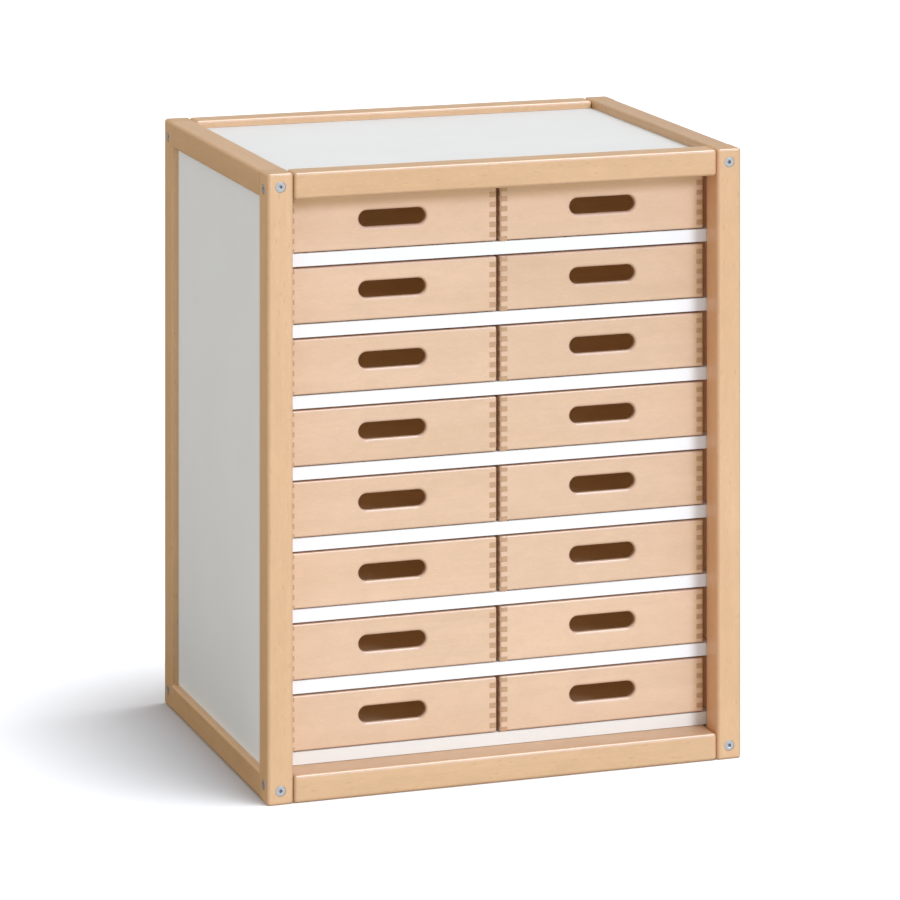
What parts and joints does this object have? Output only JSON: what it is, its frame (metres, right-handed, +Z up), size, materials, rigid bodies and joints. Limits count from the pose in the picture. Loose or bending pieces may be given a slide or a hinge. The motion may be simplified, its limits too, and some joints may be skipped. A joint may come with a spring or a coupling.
{
  "type": "classroom tray storage unit",
  "caption": "Free-standing tray cabinet: a beech post-and-rail frame holds white side, back and top panels and shelves, on which finger-jointed beech trays slide out by oval grip slots.",
  "frame": {"origin": "centre of the base, on the floor under the middle of the unit", "axes": "+Z up, the open front with the trays faces -Y, +X to the right seen from the front"},
  "size_m": [0.729, 0.5562, 0.9],
  "materials": {
    "beech_frame": "clear satin lacquer",
    "beech_tray": "clear matt lacquer",
    "white_board": "white melamine facing",
    "bolt_zinc": "zinc plated"
  },
  "bodies": {
    "cabinet": {"front_left_post": "beech_frame", "front_right_post": "beech_frame", "rear_left_post": "beech_frame", "rear_right_post": "beech_frame", "front_bottom_rail": "beech_frame", "front_top_rail": "beech_frame", "rear_bottom_rail": "beech_frame", "rear_top_rail": "beech_frame", "left_bottom_rail": "beech_frame", "left_top_rail": "beech_frame", "right_bottom_rail": "beech_frame", "right_top_rail": "beech_frame", "left_side_panel": "white_board", "right_side_panel": "white_board", "back_panel": "white_board", "top_panel": "white_board", "shelf_1": "white_board", "shelf_2": "white_board", "shelf_3": "white_board", "shelf_4": "white_board", "shelf_5": "white_board", "shelf_6": "white_board", "shelf_7": "white_board", "shelf_8": "white_board"},
    "tray_1_left": {"tray_1_left_front": "beech_tray", "tray_1_left_box": "beech_tray"},
    "tray_1_right": {"tray_1_right_front": "beech_tray", "tray_1_right_box": "beech_tray"},
    "tray_2_left": {"tray_2_left_front": "beech_tray", "tray_2_left_box": "beech_tray"},
    "tray_2_right": {"tray_2_right_front": "beech_tray", "tray_2_right_box": "beech_tray"},
    "tray_3_left": {"tray_3_left_front": "beech_tray", "tray_3_left_box": "beech_tray"},
    "tray_3_right": {"tray_3_right_front": "beech_tray", "tray_3_right_box": "beech_tray"},
    "tray_4_left": {"tray_4_left_front": "beech_tray", "tray_4_left_box": "beech_tray"},
    "tray_4_right": {"tray_4_right_front": "beech_tray", "tray_4_right_box": "beech_tray"},
    "tray_5_left": {"tray_5_left_front": "beech_tray", "tray_5_left_box": "beech_tray"},
    "tray_5_right": {"tray_5_right_front": "beech_tray", "tray_5_right_box": "beech_tray"},
    "tray_6_left": {"tray_6_left_front": "beech_tray", "tray_6_left_box": "beech_tray"},
    "tray_6_right": {"tray_6_right_front": "beech_tray", "tray_6_right_box": "beech_tray"},
    "tray_7_left": {"tray_7_left_front": "beech_tray", "tray_7_left_box": "beech_tray"},
    "tray_7_right": {"tray_7_right_front": "beech_tray", "tray_7_right_box": "beech_tray"},
    "tray_8_left": {"tray_8_left_front": "beech_tray", "tray_8_left_box": "beech_tray"},
    "tray_8_right": {"tray_8_right_front": "beech_tray", "tray_8_right_box": "beech_tray"}
  },
  "joints": [
    {"name": "tray_1_left_slide", "type": "slide", "parent": "cabinet", "child": "tray_1_left", "axis": [0, -1, 0], "range_m": [0, 0.455]},
    {"name": "tray_1_right_slide", "type": "slide", "parent": "cabinet", "child": "tray_1_right", "axis": [0, -1, 0], "range_m": [0, 0.455]},
    {"name": "tray_2_left_slide", "type": "slide", "parent": "cabinet", "child": "tray_2_left", "axis": [0, -1, 0], "range_m": [0, 0.455]},
    {"name": "tray_2_right_slide", "type": "slide", "parent": "cabinet", "child": "tray_2_right", "axis": [0, -1, 0], "range_m": [0, 0.455]},
    {"name": "tray_3_left_slide", "type": "slide", "parent": "cabinet", "child": "tray_3_left", "axis": [0, -1, 0], "range_m": [0, 0.455]},
    {"name": "tray_3_right_slide", "type": "slide", "parent": "cabinet", "child": "tray_3_right", "axis": [0, -1, 0], "range_m": [0, 0.455]},
    {"name": "tray_4_left_slide", "type": "slide", "parent": "cabinet", "child": "tray_4_left", "axis": [0, -1, 0], "range_m": [0, 0.455]},
    {"name": "tray_4_right_slide", "type": "slide", "parent": "cabinet", "child": "tray_4_right", "axis": [0, -1, 0], "range_m": [0, 0.455]},
    {"name": "tray_5_left_slide", "type": "slide", "parent": "cabinet", "child": "tray_5_left", "axis": [0, -1, 0], "range_m": [0, 0.455]},
    {"name": "tray_5_right_slide", "type": "slide", "parent": "cabinet", "child": "tray_5_right", "axis": [0, -1, 0], "range_m": [0, 0.455]},
    {"name": "tray_6_left_slide", "type": "slide", "parent": "cabinet", "child": "tray_6_left", "axis": [0, -1, 0], "range_m": [0, 0.455]},
    {"name": "tray_6_right_slide", "type": "slide", "parent": "cabinet", "child": "tray_6_right", "axis": [0, -1, 0], "range_m": [0, 0.455]},
    {"name": "tray_7_left_slide", "type": "slide", "parent": "cabinet", "child": "tray_7_left", "axis": [0, -1, 0], "range_m": [0, 0.455]},
    {"name": "tray_7_right_slide", "type": "slide", "parent": "cabinet", "child": "tray_7_right", "axis": [0, -1, 0], "range_m": [0, 0.455]},
    {"name": "tray_8_left_slide", "type": "slide", "parent": "cabinet", "child": "tray_8_left", "axis": [0, -1, 0], "range_m": [0, 0.455]},
    {"name": "tray_8_right_slide", "type": "slide", "parent": "cabinet", "child": "tray_8_right", "axis": [0, -1, 0], "range_m": [0, 0.455]}
  ]
}
